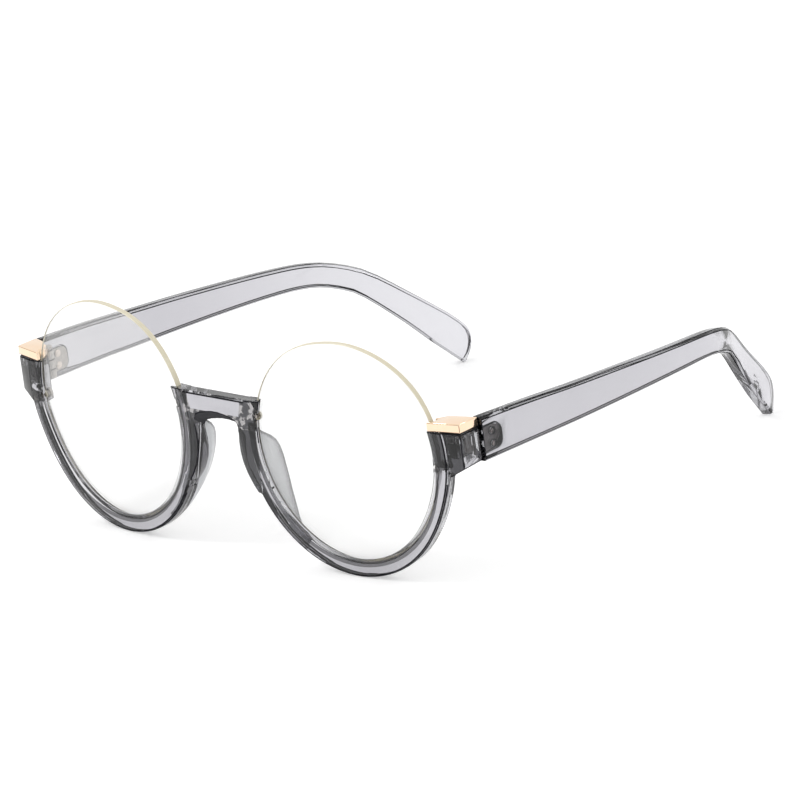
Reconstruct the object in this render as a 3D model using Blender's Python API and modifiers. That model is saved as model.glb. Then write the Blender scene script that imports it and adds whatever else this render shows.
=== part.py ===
"""Semi-rimless eyeglasses: a clear grey moulded front with half rims, metal end caps and folding temples.

World frame: X to the viewer's right when facing the front, Y backwards to the temple tips, Z up from
the table that the rims and the temple tips stand on. Left and right are the wearer's, so the left
side is at +X. Every piece of the left side is modelled, and the right side is its mirror image.
"""
import math

import bmesh
import bpy
from mathutils import Matrix, Vector

# Lenses and the half rims that hold them
LENS_RADIUS = 0.02685
LENS_THICKNESS = 0.0015
LENS_CURVE_RADIUS = 0.180
LENS_GAP = 0.0245
LENS_EDGE_BEVEL = 0.0002
RIM_WALL = 0.00315
RIM_LAP = 0.00125
RIM_FRONT_LAP = 0.0013
RIM_BACK_LAP = 0.0006
RIM_INNER_CHAMFER = 0.0018
RIM_INNER_CHAMFER_DEPTH = 0.0004
RIM_BACK_FLARE = 0.0007
RIM_EDGE_CHAMFER = 0.00035
WRAP_ANGLE = math.radians(5.5)
LENS_PLAY = 0.0002
FIT_GAP = 0.0003

# Bridge
BRIDGE_TOP_RISE = 0.0103
BRIDGE_CHAMFER = 0.0005
BRIDGE_SHOULDER_DROP = 0.0230
BRIDGE_SHOULDER_WIDTH = 0.0022
NOSE_WALL = 0.00485
NOSE_ARCH_DROP = 0.0043
NOSE_ARCH_REAR_DROP = 0.0028

# End pieces, beyond the rims, and the metal caps on them
ENDPIECE_OUTSTAND = 0.0043
ENDPIECE_WIDTH = 0.0085
ENDPIECE_SETBACK = 0.0020
ENDPIECE_DEPTH = 0.0061
ENDPIECE_REAR_STEP = 0.0021
ENDPIECE_INNER_STEP = 0.0016
ENDPIECE_HEIGHT = 0.0087
ENDPIECE_TOP_RISE = 0.0083
ENDPIECE_SLANT = math.radians(28)
ENDPIECE_SLANT_WIDTH = 0.0050
ENDPIECE_REAR_RISE = 0.0006
ENDPIECE_BEVEL = 0.0003
CAP_HEIGHT = 0.0024
CAP_BEVEL = 0.00018
CAP_SLOT_DEPTH = 0.0011
CAP_SLOT_WIDTH = 0.0021
CAP_GAP = 0.0001
PRONG_RADIUS = 0.0005
PRONG_LENGTH = 0.0016
PRONG_OFFSET = 0.0017

# Hinges
HINGE_INSET = 0.0040
BARREL_RADIUS = 0.0015
BARREL_BORE_RADIUS = 0.0009
BARREL_HEIGHT = 0.0068
BARREL_TOP_DROP = 0.0002
LEAF_THICKNESS = 0.0009
ANCHOR_WIDTH = 0.0030
ANCHOR_HEIGHT = 0.0048
ANCHOR_REACH = 0.0056
ANCHOR_SLOT = 0.0011
LEAF_LENGTH = 0.0072
LEAF_HEIGHT = 0.0056
LEAF_CORNER_RADIUS = 0.0019
LEAF_DROP = 0.0004
LEAF_SINK = 0.0006
HINGE_SCREW_RADIUS = 0.0006
HINGE_SCREW_HEAD_RADIUS = 0.0012
HINGE_SCREW_HEAD_HEIGHT = 0.0007
RIVET_RADIUS = 0.0006
RIVET_HEAD_RADIUS = 0.0009
RIVET_HEAD_HEIGHT = 0.0003
RIVET_LENGTH = 0.0018
RIVET_SPACING = 0.0030
RIVET_SETBACK = 0.0042

# Temples
TEMPLE_GAP = 0.0004
TEMPLE_OUTSTAND = 0.0009
TEMPLE_THICKNESS = 0.0032
TEMPLE_EDGE_CHAMFER = 0.0006
TEMPLE_ROOT_HEIGHT = 0.0107
TEMPLE_LENGTH = 0.1212
TEMPLE_STATIONS = 40
TIP_REST_HEIGHT = 0.002326
TIP_END_LENGTH = 0.0112
TIP_END_SHARE = 0.77

# Nose pads, bonded behind the inner sides of the rims
PAD_TOP_ANGLE = math.radians(172)
PAD_BOTTOM_ANGLE = math.radians(236)
PAD_REACH = 0.0060
PAD_ROOT_WIDTH = 0.0031
PAD_LIP_WIDTH = 0.0011
PAD_SPLAY = 0.0020
PAD_STATIONS = 22

# Screws that hold the lenses, seen from behind
LENS_SCREW_RADIUS = 0.0007
LENS_SCREW_HEAD_RADIUS = 0.0012
LENS_SCREW_HEAD_HEIGHT = 0.0006
LENS_SCREW_LENGTH = 0.0030
TEMPORAL_SCREW_ANGLE = math.radians(-1.0)
NASAL_SCREW_ANGLE = math.radians(166)

# Counts and overruns
RIM_STEPS = 88
LENS_STEPS = 88
LENS_RINGS = 3
ROUND_STEPS = 20
CORNER_STEPS = 6
OVERRUN = 0.0020
MERGE_DISTANCE = 0.00002

# Shapes as shares. The nose opening, from the middle of its arch down to the rim: half width and height
NOSE_SHARES = (
    (0.16, 1.0), (0.40, 0.988), (0.66, 0.97), (0.86, 0.945), (0.96, 0.91), (1.0, 0.87),
    (0.98, 0.80), (0.95, 0.70), (0.955, 0.58), (1.02, 0.45), (1.19, 0.30), (1.44, 0.16), (1.78, 0.0),
)
# The lens outline: share of a turn from the temple side upwards, and radius over LENS_RADIUS
LENS_SHARES = (
    (0.0, 1.012), (0.061, 1.036), (0.097, 1.043), (0.125, 1.037), (0.158, 1.023), (0.194, 1.008),
    (0.222, 1.001), (0.25, 0.997), (0.278, 0.999), (0.306, 1.012), (0.333, 1.026), (0.361, 1.036),
    (0.40, 1.041), (0.439, 1.038), (0.50, 1.022), (0.556, 1.005), (0.625, 0.998), (0.694, 1.0),
    (0.75, 1.0), (0.792, 0.994), (0.833, 0.985), (0.867, 0.977), (0.903, 0.970), (0.942, 0.975),
    (0.969, 0.990), (1.0, 1.012),
)
# The temple's middle line: distance back and inset over its length, drop over TEMPLE_DROP, and half
# height over the root's
TEMPLE_SHARES = (
    (0.0, 0.0, 0.0, 1.0),
    (0.13, 0.0, 0.0148, 0.935),
    (0.258, 0.0030, 0.0367, 0.85),
    (0.38, 0.0090, 0.0556, 0.77),
    (0.506, 0.0190, 0.0778, 0.682),
    (0.60, 0.0300, 0.0970, 0.62),
    (0.67, 0.0425, 0.1167, 0.58),
    (0.72, 0.0570, 0.1481, 0.56),
    (0.765, 0.0780, 0.2074, 0.56),
    (0.801, 0.1000, 0.2852, 0.575),
    (0.866, 0.1360, 0.5111, 0.65),
    (0.930, 0.1640, 0.7481, 0.77),
    (0.995, 0.1880, 1.0, 0.92),
)
# The slanted, rounded end: distance along it, and how far its upper edge has come down
TIP_SHARES = (
    (0.0, 0.0), (0.30, 0.0), (0.50, 0.02), (0.66, 0.07), (0.78, 0.17), (0.87, 0.31),
    (0.93, 0.46), (0.97, 0.62), (1.0, 0.83),
)
# The nose pad: its least widths over its greatest, its width at mid depth, its bow and its rounding
PAD_ROOT_SHARE = 0.55
PAD_LIP_SHARE = 0.6
PAD_WAIST_SHARE = 0.8
PAD_BOW_SHARE = 0.25
PAD_EDGE_SHARE = 0.25
# How far the nose pad stands out, from its top to its bottom
PAD_SHARES = (
    (0.0, 0.03), (0.06, 0.20), (0.15, 0.78), (0.22, 0.95), (0.30, 1.0), (0.38, 0.97),
    (0.50, 0.87), (0.69, 0.59), (0.81, 0.34), (0.92, 0.15), (1.0, 0.03),
)

# Places that follow from the sizes
RIM_RADIUS = LENS_RADIUS + RIM_WALL
RIM_INNER_RADIUS = LENS_RADIUS - RIM_LAP
LENS_X = LENS_RADIUS + LENS_GAP / 2
LENS_Z = RIM_RADIUS
RIM_FRONT = -RIM_FRONT_LAP
RIM_BACK = LENS_THICKNESS + RIM_BACK_LAP
BRIDGE_TOP = LENS_Z + BRIDGE_TOP_RISE
BRIDGE_SPAN = LENS_X - math.sqrt(RIM_RADIUS**2 - BRIDGE_TOP_RISE**2)
FRONT_DATUM = RIM_FRONT - (LENS_X - BRIDGE_SPAN) * math.sin(WRAP_ANGLE)
NOSE_HALF_WIDTH = LENS_GAP / 2 - NOSE_WALL
FRONT_HALF_WIDTH = LENS_X + RIM_RADIUS + ENDPIECE_OUTSTAND
ENDPIECE_TOP = LENS_Z + ENDPIECE_TOP_RISE
ENDPIECE_INNER_X = FRONT_HALF_WIDTH - ENDPIECE_WIDTH
ENDPIECE_FRONT = RIM_FRONT + (ENDPIECE_INNER_X - LENS_X) * math.sin(WRAP_ANGLE)
ENDPIECE_REAR = ENDPIECE_FRONT + ENDPIECE_SETBACK + ENDPIECE_DEPTH
HINGE_X = FRONT_HALF_WIDTH - HINGE_INSET
HINGE_Y = ENDPIECE_REAR + TEMPLE_GAP
HINGE_TOP = ENDPIECE_TOP - BARREL_TOP_DROP
HINGE_MIDDLE = HINGE_TOP - BARREL_HEIGHT / 2
LEAF_MIDDLE = HINGE_MIDDLE - LEAF_DROP
TEMPLE_OUTER_X = FRONT_HALF_WIDTH + TEMPLE_OUTSTAND
TEMPLE_INNER_X = TEMPLE_OUTER_X - TEMPLE_THICKNESS
TEMPLE_ROOT_Z = ENDPIECE_TOP + CAP_HEIGHT - TEMPLE_ROOT_HEIGHT / 2 - FIT_GAP
TEMPLE_DROP = TEMPLE_ROOT_Z - TIP_REST_HEIGHT

MODEL = "semi_rimless_glasses"
TOOLS = "cutters"


def clear_scene():
    for item in list(bpy.data.objects):
        bpy.data.objects.remove(item, do_unlink=True)
    for group in list(bpy.data.collections):
        bpy.data.collections.remove(group)
    for name in (MODEL, TOOLS):
        bpy.context.scene.collection.children.link(bpy.data.collections.new(name))


def material(name, colour, roughness, metallic=0.0, alpha=1.0):
    made = bpy.data.materials.new(name)
    made.use_nodes = True
    shader = made.node_tree.nodes["Principled BSDF"]
    shader.inputs["Base Color"].default_value = (*colour, 1.0)
    shader.inputs["Roughness"].default_value = roughness
    shader.inputs["Metallic"].default_value = metallic
    shader.inputs["Alpha"].default_value = alpha
    made.diffuse_color = (*colour, alpha)
    return made


def add(name, mesh, collection=MODEL):
    made = bpy.data.objects.new(name, mesh)
    bpy.data.collections[collection].objects.link(made)
    if collection == TOOLS:
        made.hide_render = True
        made.display_type = "WIRE"
    return made


def from_bmesh(name, shape, collection=MODEL, matrix=None):
    """Stores a bmesh as an object, with its place in its mesh and its faces pointing out."""
    if matrix is not None:
        bmesh.ops.transform(shape, matrix=matrix, verts=shape.verts)
    bmesh.ops.recalc_face_normals(shape, faces=shape.faces)
    mesh = bpy.data.meshes.new(name)
    shape.to_mesh(mesh)
    shape.free()
    return add(name, mesh, collection)


def evaluated_mesh(item):
    bpy.context.view_layer.update()
    graph = bpy.context.evaluated_depsgraph_get()
    return bpy.data.meshes.new_from_object(item.evaluated_get(graph))


def box(name, low, high, collection=TOOLS):
    shape = bmesh.new()
    bmesh.ops.create_cube(shape, size=1)
    low, high = Vector(low), Vector(high)
    size = high - low
    matrix = Matrix.Translation((low + high) / 2) @ Matrix.Diagonal((*size, 1))
    return from_bmesh(name, shape, collection, matrix)


def drum(name, radius, start, end, collection=TOOLS, steps=ROUND_STEPS):
    """A cylinder between the centres of its two end faces."""
    shape = bmesh.new()
    start, end = Vector(start), Vector(end)
    along = end - start
    bmesh.ops.create_cone(shape, cap_ends=True, segments=steps, radius1=radius, radius2=radius, depth=along.length)
    turn = along.to_track_quat("Z", "Y").to_matrix().to_4x4()
    return from_bmesh(name, shape, collection, Matrix.Translation((start + end) / 2) @ turn)


def follow(rows, at):
    """Reads a smooth curve through rows of numbers, by the first number of each row."""
    last = len(rows) - 1
    i = 0
    while i < last - 1 and at > rows[i + 1][0]:
        i += 1
    near, far = rows[i], rows[i + 1]
    before, after = rows[max(i - 1, 0)], rows[min(i + 2, last)]
    span = far[0] - near[0]
    t = min(max((at - near[0]) / span, 0.0), 1.0)
    values = []
    for k in range(1, len(near)):
        enter = (far[k] - before[k]) / (far[0] - before[0]) * span
        leave = (after[k] - near[k]) / (after[0] - near[0]) * span
        rise = far[k] - near[k]
        values.append(near[k] + t * (enter + t * (3 * rise - 2 * enter - leave + t * (enter + leave - 2 * rise))))
    return values


def squared(angle):
    """The radius of the lens outline over LENS_RADIUS, at an angle from the temple side upwards."""
    return follow(LENS_SHARES, angle / (2 * math.pi) % 1)[0]


def square_up(shape):
    """Gives the lens outline to a shape that is turned about the lens axis, Y downwards."""
    for vert in shape.verts:
        share = squared(math.atan2(-vert.co.y, vert.co.x))
        vert.co.x *= share
        vert.co.y *= share


def turned(name, profile, steps, matrix, collection=TOOLS, closed=False, lens_shape=False):
    """Turns a profile of (radius, height) points about Z. A closed profile makes a ring."""
    mesh = bpy.data.meshes.new(name + "_profile")
    edges = [(i, i + 1) for i in range(len(profile) - 1)]
    if closed:
        edges.append((len(profile) - 1, 0))
    mesh.from_pydata([(radius, 0.0, height) for radius, height in profile], edges, [])
    guide = add(name + "_profile", mesh, TOOLS)
    screw = guide.modifiers.new("Screw", "SCREW")
    screw.axis = "Z"
    screw.steps = steps
    screw.render_steps = steps
    screw.use_merge_vertices = True
    screw.merge_threshold = MERGE_DISTANCE
    shape = bmesh.new()
    shape.from_mesh(evaluated_mesh(guide))
    bpy.data.objects.remove(guide)
    bmesh.ops.remove_doubles(shape, verts=shape.verts, dist=MERGE_DISTANCE)
    if lens_shape:
        square_up(shape)
    return from_bmesh(name, shape, collection, matrix)


def plate(name, outline, low, high, matrix=None, chamfer=0.0, collection=TOOLS):
    """Extrudes a flat outline of (x, y) points from height low to high, with chamfered rims."""
    curve = bpy.data.curves.new(name, "CURVE")
    curve.dimensions = "2D"
    curve.fill_mode = "BOTH"
    curve.extrude = (high - low) / 2 - chamfer
    curve.bevel_depth = chamfer
    curve.bevel_resolution = 0
    curve.offset = -chamfer
    spline = curve.splines.new("POLY")
    spline.points.add(len(outline) - 1)
    for point, place in zip(spline.points, outline):
        point.co = (*place, 0.0, 1.0)
    spline.use_cyclic_u = True
    guide = bpy.data.objects.new(name + "_outline", curve)
    bpy.data.collections[TOOLS].objects.link(guide)
    shape = bmesh.new()
    shape.from_mesh(evaluated_mesh(guide))
    bpy.data.objects.remove(guide)
    bmesh.ops.remove_doubles(shape, verts=shape.verts, dist=MERGE_DISTANCE)
    lift = Matrix.Translation((0.0, 0.0, (low + high) / 2))
    return from_bmesh(name, shape, collection, (matrix or Matrix()) @ lift)


def loft(name, sections, collection=MODEL, flat=False):
    """Joins closed sections of equal point counts, and closes both ends. Flat splits twisted faces."""
    shape = bmesh.new()
    rings = [[shape.verts.new(point) for point in section] for section in sections]
    count = len(rings[0])
    for near, far in zip(rings, rings[1:]):
        for i in range(count):
            j = (i + 1) % count
            shape.faces.new((near[i], near[j], far[j], far[i]))
    if flat:
        bmesh.ops.triangulate(shape, faces=shape.faces)
    shape.faces.new(rings[0])
    shape.faces.new(rings[-1])
    return from_bmesh(name, shape, collection)


def combine(target, tool, operation):
    change = target.modifiers.new(tool.name, "BOOLEAN")
    change.operation = operation
    change.solver = "EXACT"
    change.object = tool


def join(target, *tools):
    for tool in tools:
        combine(target, tool, "UNION")


def cut(target, *tools):
    for tool in tools:
        combine(target, tool, "DIFFERENCE")


def weld(target):
    """Closes the hair-thin slivers that crossing surfaces leave."""
    change = target.modifiers.new("Weld", "WELD")
    change.merge_threshold = MERGE_DISTANCE


def arc(centre, radius_x, radius_y, start, end, steps):
    """Points on an elliptical arc, with both ends."""
    points = []
    for i in range(steps + 1):
        angle = start + (end - start) * i / steps
        points.append((centre[0] + radius_x * math.cos(angle), centre[1] + radius_y * math.sin(angle)))
    return points


def lens_frame():
    """Carries the lens axis from Z to the wrapped Y axis of the left lens, with its front at zero."""
    turn = Matrix.Rotation(WRAP_ANGLE, 4, "Z") @ Matrix.Rotation(math.radians(-90), 4, "X")
    return Matrix.Translation((LENS_X, 0.0, LENS_Z)) @ turn


def lens_point(angle, radius, depth):
    """A place by its angle and radius about the left lens centre, seen from the front."""
    radius *= squared(angle)
    across = Vector((radius * math.cos(angle), depth, radius * math.sin(angle)))
    return Matrix.Translation((LENS_X, 0.0, LENS_Z)) @ Matrix.Rotation(WRAP_ANGLE, 4, "Z") @ across


def rim_ring():
    """The full turned ring that the left half rim is cut from."""
    lip = RIM_EDGE_CHAMFER
    profile = [
        (RIM_INNER_RADIUS + RIM_INNER_CHAMFER, RIM_FRONT),
        (RIM_RADIUS - lip, RIM_FRONT),
        (RIM_RADIUS, RIM_FRONT + lip),
        (RIM_RADIUS, RIM_BACK - lip),
        (RIM_RADIUS - lip, RIM_BACK),
        (RIM_INNER_RADIUS + RIM_BACK_FLARE + lip, RIM_BACK),
        (RIM_INNER_RADIUS + RIM_BACK_FLARE, RIM_BACK - lip),
        (RIM_INNER_RADIUS, RIM_FRONT + RIM_INNER_CHAMFER_DEPTH),
    ]
    return turned("front_frame", profile, RIM_STEPS, lens_frame(), MODEL, closed=True, lens_shape=True)


def bridge_blank():
    """The block that the bridge and the thickened nose sides of the rims are cut from."""
    low = BRIDGE_TOP - BRIDGE_SHOULDER_DROP
    outer = BRIDGE_SPAN + BRIDGE_SHOULDER_WIDTH
    outline = [(-outer, BRIDGE_TOP), (-outer, low), (outer, low), (outer, BRIDGE_TOP)]
    upright = Matrix.Rotation(math.radians(90), 4, "X")
    depth = RIM_BACK - RIM_FRONT
    return plate("bridge_blank", outline, -FRONT_DATUM - depth, -FRONT_DATUM, upright, BRIDGE_CHAMFER)


def nose_opening():
    """The opening for the nose: its arch slopes down towards the back."""
    top = BRIDGE_TOP - NOSE_ARCH_DROP
    low = BRIDGE_TOP - BRIDGE_SHOULDER_DROP - OVERRUN
    slope = NOSE_ARCH_REAR_DROP / (RIM_BACK - RIM_FRONT)
    sections = []
    for depth in (FRONT_DATUM - OVERRUN, FRONT_DATUM + RIM_BACK - RIM_FRONT + OVERRUN):
        drop = (depth - FRONT_DATUM) * slope
        half = []
        for across, up in NOSE_SHARES:
            half.append((NOSE_HALF_WIDTH * across, low + (top - low - drop) * up))
        outline = half + [(-x, z) for x, z in reversed(half)]
        sections.append([(x, depth, z) for x, z in outline])
    return loft("nose_opening", sections, TOOLS, True)


def endpiece_outline(inset=0.0):
    """The plan of the left end piece, from its inner front corner round the outside."""
    inner = ENDPIECE_INNER_X + inset
    outer = FRONT_HALF_WIDTH - inset
    front = ENDPIECE_FRONT + inset
    rear = ENDPIECE_REAR - inset
    return [
        (inner, front),
        (outer, front + ENDPIECE_SETBACK),
        (outer, rear),
        (inner + ENDPIECE_INNER_STEP, rear - ENDPIECE_REAR_STEP),
        (inner, ENDPIECE_FRONT + RIM_BACK - RIM_FRONT),
    ]


def endpiece_blank():
    low = ENDPIECE_TOP - ENDPIECE_HEIGHT - ENDPIECE_SLANT_WIDTH
    return plate("endpiece_blank", endpiece_outline(), low, ENDPIECE_TOP, None, ENDPIECE_BEVEL)


def endpiece_underside():
    """The waste below the end piece, whose bottom slants to the outside and rises to the back."""
    corner = ENDPIECE_TOP - ENDPIECE_HEIGHT
    drop = ENDPIECE_SLANT_WIDTH * math.tan(ENDPIECE_SLANT)
    rise = OVERRUN * math.tan(ENDPIECE_SLANT)
    beyond = FRONT_HALF_WIDTH + OVERRUN
    inside = ENDPIECE_INNER_X - OVERRUN
    bottom = corner - ENDPIECE_SLANT_WIDTH - OVERRUN
    outline = [
        (beyond, corner + rise),
        (FRONT_HALF_WIDTH - ENDPIECE_SLANT_WIDTH, corner - drop),
        (inside, corner - drop),
        (inside, bottom),
        (beyond, bottom),
    ]
    sections = []
    for depth in (ENDPIECE_FRONT - OVERRUN, ENDPIECE_REAR + OVERRUN):
        lift = (depth - ENDPIECE_FRONT) * ENDPIECE_REAR_RISE / (ENDPIECE_REAR - ENDPIECE_FRONT)
        sections.append([(x, depth, z + lift) for x, z in outline])
    return loft("endpiece_underside", sections, TOOLS)


def rim_waste():
    """What is cut off the ring above the half rim, stepped between the nose and the temple side."""
    top = LENS_Z + RIM_RADIUS + OVERRUN
    front = FRONT_DATUM - OVERRUN
    nose = box("rim_waste_nose", (-OVERRUN, front, BRIDGE_TOP), (LENS_X + OVERRUN, ENDPIECE_REAR, top))
    side = box("rim_waste_side", (LENS_X, front, ENDPIECE_TOP), (FRONT_HALF_WIDTH + OVERRUN, ENDPIECE_REAR + OVERRUN, top))
    join(nose, side)
    return nose


def lens_profile():
    """Half of the lens section: a meniscus whose edge is flat and stands in the groove."""
    bulge = LENS_CURVE_RADIUS - math.sqrt(LENS_CURVE_RADIUS**2 - LENS_RADIUS**2)
    front, back = [], []
    for i in range(LENS_RINGS + 1):
        at = LENS_RADIUS * i / LENS_RINGS
        fall = LENS_CURVE_RADIUS - math.sqrt(LENS_CURVE_RADIUS**2 - at**2)
        front.append((at, fall - bulge))
        back.append((at, fall - bulge + LENS_THICKNESS))
    land = LENS_RADIUS - LENS_EDGE_BEVEL
    front[-1] = (land, 0.0)
    back[-1] = (land, LENS_THICKNESS)
    edge = [(LENS_RADIUS, LENS_EDGE_BEVEL), (LENS_RADIUS, LENS_THICKNESS - LENS_EDGE_BEVEL)]
    return front + edge + back[::-1]


def lens_axis_drum(name, radius, low, high):
    """A cutter along the lens axis, with the outline of the lens."""
    profile = [(0.0, low), (radius, low), (radius, high), (0.0, high)]
    return turned(name, profile, RIM_STEPS, lens_frame(), TOOLS, lens_shape=True)


def groove_tool():
    return lens_axis_drum("groove_tool", LENS_RADIUS + LENS_PLAY, -LENS_PLAY, LENS_THICKNESS + LENS_PLAY)


def opening_tool(name):
    """Clears the lens opening up to the middle of the rim, so that the ring alone shapes its inner side."""
    radius = RIM_INNER_RADIUS + RIM_INNER_CHAMFER + RIM_EDGE_CHAMFER
    return lens_axis_drum(name, radius, RIM_FRONT - OVERRUN, ENDPIECE_REAR + OVERRUN)


def lens_screw(name, angle, grow=0.0, collection=MODEL):
    """A small headed screw from behind the rim, past the lens edge, along the lens axis."""
    shank = LENS_SCREW_RADIUS + grow
    head = LENS_SCREW_HEAD_RADIUS + grow
    seat = RIM_BACK + FIT_GAP / 2
    tip = seat - LENS_SCREW_LENGTH - grow
    top = seat + LENS_SCREW_HEAD_HEIGHT
    if grow:
        top += 2 * OVERRUN
    profile = [(0.0, tip), (shank, tip), (shank, seat - grow), (head, seat - grow), (head, top), (0.0, top)]
    across = LENS_RADIUS
    shift = Matrix.Translation((across * math.cos(angle), -across * math.sin(angle), 0.0))
    return turned(name, profile, ROUND_STEPS, lens_frame() @ shift, collection)


def front_leaf(name, grow=0.0, collection=MODEL):
    """The moulded-in hinge leaf: a tee-shaped anchor in the end piece and the two outer knuckles."""
    half = LEAF_THICKNESS / 2 + grow
    anchor_front = HINGE_Y - ANCHOR_REACH
    low = HINGE_MIDDLE - ANCHOR_HEIGHT / 2
    high = HINGE_MIDDLE + ANCHOR_HEIGHT / 2
    body = box(name, (HINGE_X - half, anchor_front - grow, low - grow), (HINGE_X + half, HINGE_Y, high + grow), collection)
    wide = ANCHOR_WIDTH / 2 + grow
    flange = box(
        name + "_flange",
        (HINGE_X - wide, anchor_front - grow, low - grow),
        (HINGE_X + wide, anchor_front + LEAF_THICKNESS + grow, high + grow),
    )
    join(body, flange)
    return body


def barrel(name, low, high, grow=0.0, collection=TOOLS):
    return drum(name, BARREL_RADIUS + grow, (HINGE_X, HINGE_Y, low), (HINGE_X, HINGE_Y, high), collection)


def knuckle_levels():
    """Heights of the three knuckles, as pairs, with a gap between neighbours."""
    share = (BARREL_HEIGHT - 2 * FIT_GAP) / 3
    bottom = HINGE_TOP - BARREL_HEIGHT
    return [(bottom + i * (share + FIT_GAP), bottom + i * (share + FIT_GAP) + share) for i in range(3)]


def bore_tool(name):
    low = HINGE_TOP - BARREL_HEIGHT - OVERRUN
    return drum(name, BARREL_BORE_RADIUS, (HINGE_X, HINGE_Y, low), (HINGE_X, HINGE_Y, HINGE_TOP + OVERRUN))


def knuckle_clearance(name, level):
    """Room in one leaf for the knuckle of the other leaf, with its running gap."""
    low, high = level
    return barrel(name, low - FIT_GAP, high + FIT_GAP, FIT_GAP)


def hinge_front_leaf():
    leaf = front_leaf("hinge_front_leaf_left")
    bottom, middle, top = knuckle_levels()
    join(leaf, barrel("front_knuckle_low", *bottom), barrel("front_knuckle_high", *top))
    cut(leaf, knuckle_clearance("middle_knuckle_room", middle), bore_tool("front_leaf_bore"))
    window = ANCHOR_SLOT / 2
    near = HINGE_Y - ANCHOR_REACH - OVERRUN
    for name, side in (("low", -1), ("high", 1)):
        level = HINGE_MIDDLE + side * ANCHOR_HEIGHT / 4
        low = (HINGE_X - window, near, level - window)
        high = (HINGE_X + window, near + OVERRUN + LEAF_THICKNESS / 2, level + window)
        cut(leaf, box("anchor_window_" + name, low, high))
    return leaf


def hinge_temple_leaf():
    """The riveted temple leaf: a round-cornered plate let into the temple and the middle knuckle."""
    inner = TEMPLE_INNER_X + LEAF_SINK - LEAF_THICKNESS
    leaf = leaf_plate("hinge_temple_leaf_left", 0.0, inner, inner + LEAF_THICKNESS, MODEL)
    level = knuckle_levels()[1]
    web_high = (inner + LEAF_THICKNESS, HINGE_Y + BARREL_RADIUS + LEAF_THICKNESS, level[1])
    web = box("temple_leaf_web", (HINGE_X, HINGE_Y, level[0]), web_high)
    join(leaf, web, barrel("temple_knuckle", *level))
    cut(leaf, bore_tool("temple_leaf_bore"))
    for i, (low, high) in enumerate(knuckle_levels()):
        if i != 1:
            cut(leaf, knuckle_clearance("outer_knuckle_room_" + str(i), (low, high)))
    for i, height in enumerate(rivet_heights()):
        near = (inner - OVERRUN, HINGE_Y + RIVET_SETBACK, height)
        far = (inner + LEAF_THICKNESS + OVERRUN, HINGE_Y + RIVET_SETBACK, height)
        cut(leaf, drum("leaf_rivet_hole_" + str(i), RIVET_RADIUS + FIT_GAP / 2, near, far))
    return leaf


def rivet_heights():
    return [LEAF_MIDDLE - RIVET_SPACING / 2, LEAF_MIDDLE + RIVET_SPACING / 2]


def leaf_plate(name, grow, low_x, high_x, collection=TOOLS):
    """The outline of the temple leaf in side view, extruded across."""
    half = LEAF_HEIGHT / 2 + grow
    start = HINGE_Y + FIT_GAP - grow
    centre = HINGE_Y + LEAF_LENGTH - LEAF_CORNER_RADIUS
    radius = LEAF_CORNER_RADIUS + grow
    quarter = math.pi / 2
    outline = [(start, LEAF_MIDDLE - half)]
    outline += arc((centre, LEAF_MIDDLE - half + radius), radius, radius, -quarter, 0.0, CORNER_STEPS)
    outline += arc((centre, LEAF_MIDDLE + half - radius), radius, radius, 0.0, quarter, CORNER_STEPS)
    outline.append((start, LEAF_MIDDLE + half))
    sideways = Matrix(((0, 0, 1, 0), (1, 0, 0, 0), (0, 1, 0, 0), (0, 0, 0, 1)))
    return plate(name, outline, low_x, high_x, sideways, 0.0, collection)


def hinge_screw():
    """The pivot screw, dropped in from above through all three knuckles."""
    seat = HINGE_TOP + FIT_GAP
    low = HINGE_TOP - BARREL_HEIGHT
    top = seat + HINGE_SCREW_HEAD_HEIGHT
    shank, head = HINGE_SCREW_RADIUS, HINGE_SCREW_HEAD_RADIUS
    profile = [(0.0, low), (shank, low), (shank, seat), (head, seat), (head, top), (0.0, top)]
    return turned("hinge_screw_left", profile, ROUND_STEPS, Matrix.Translation((HINGE_X, HINGE_Y, 0.0)), MODEL)


def rivet(name, height, grow=0.0, collection=TOOLS):
    """One rivet, from its domed head inside the temple leaf to its end in the temple."""
    seat = TEMPLE_INNER_X + LEAF_SINK - LEAF_THICKNESS - FIT_GAP / 2
    shank, head = RIVET_RADIUS + grow, RIVET_HEAD_RADIUS + grow
    end = RIVET_LENGTH + grow
    profile = [(0.0, -RIVET_HEAD_HEIGHT), (head / 2, -RIVET_HEAD_HEIGHT), (head, 0.0), (shank, 0.0), (shank, end), (0.0, end)]
    place = Matrix.Translation((seat, HINGE_Y + RIVET_SETBACK, height)) @ Matrix.Rotation(math.radians(90), 4, "Y")
    return turned(name, profile, ROUND_STEPS, place, collection)


def cap_prongs():
    """Centres of the cap's two seating pins, from the outer front corner inwards and backwards."""
    outer = FRONT_HALF_WIDTH - PRONG_OFFSET
    front = ENDPIECE_FRONT + ENDPIECE_SETBACK + PRONG_OFFSET
    rear = ENDPIECE_REAR - PRONG_OFFSET
    return [(outer, front), (outer, rear)]


def cap_slot(name):
    """The notch in the cap's inner side that the lens edge stands in."""
    turn = Matrix.Translation((LENS_X, 0.0, 0.0)) @ Matrix.Rotation(WRAP_ANGLE, 4, "Z")
    inner = (ENDPIECE_INNER_X - LENS_X) / math.cos(WRAP_ANGLE)
    middle = LENS_THICKNESS / 2
    shape = bmesh.new()
    bmesh.ops.create_cube(shape, size=1)
    depth = CAP_SLOT_DEPTH + OVERRUN
    size = Matrix.Diagonal((depth, CAP_SLOT_WIDTH, CAP_HEIGHT + 2 * OVERRUN, 1))
    place = Matrix.Translation((inner + CAP_SLOT_DEPTH - depth / 2, middle, ENDPIECE_TOP + CAP_HEIGHT / 2))
    return from_bmesh(name, shape, TOOLS, turn @ place @ size)


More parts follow.
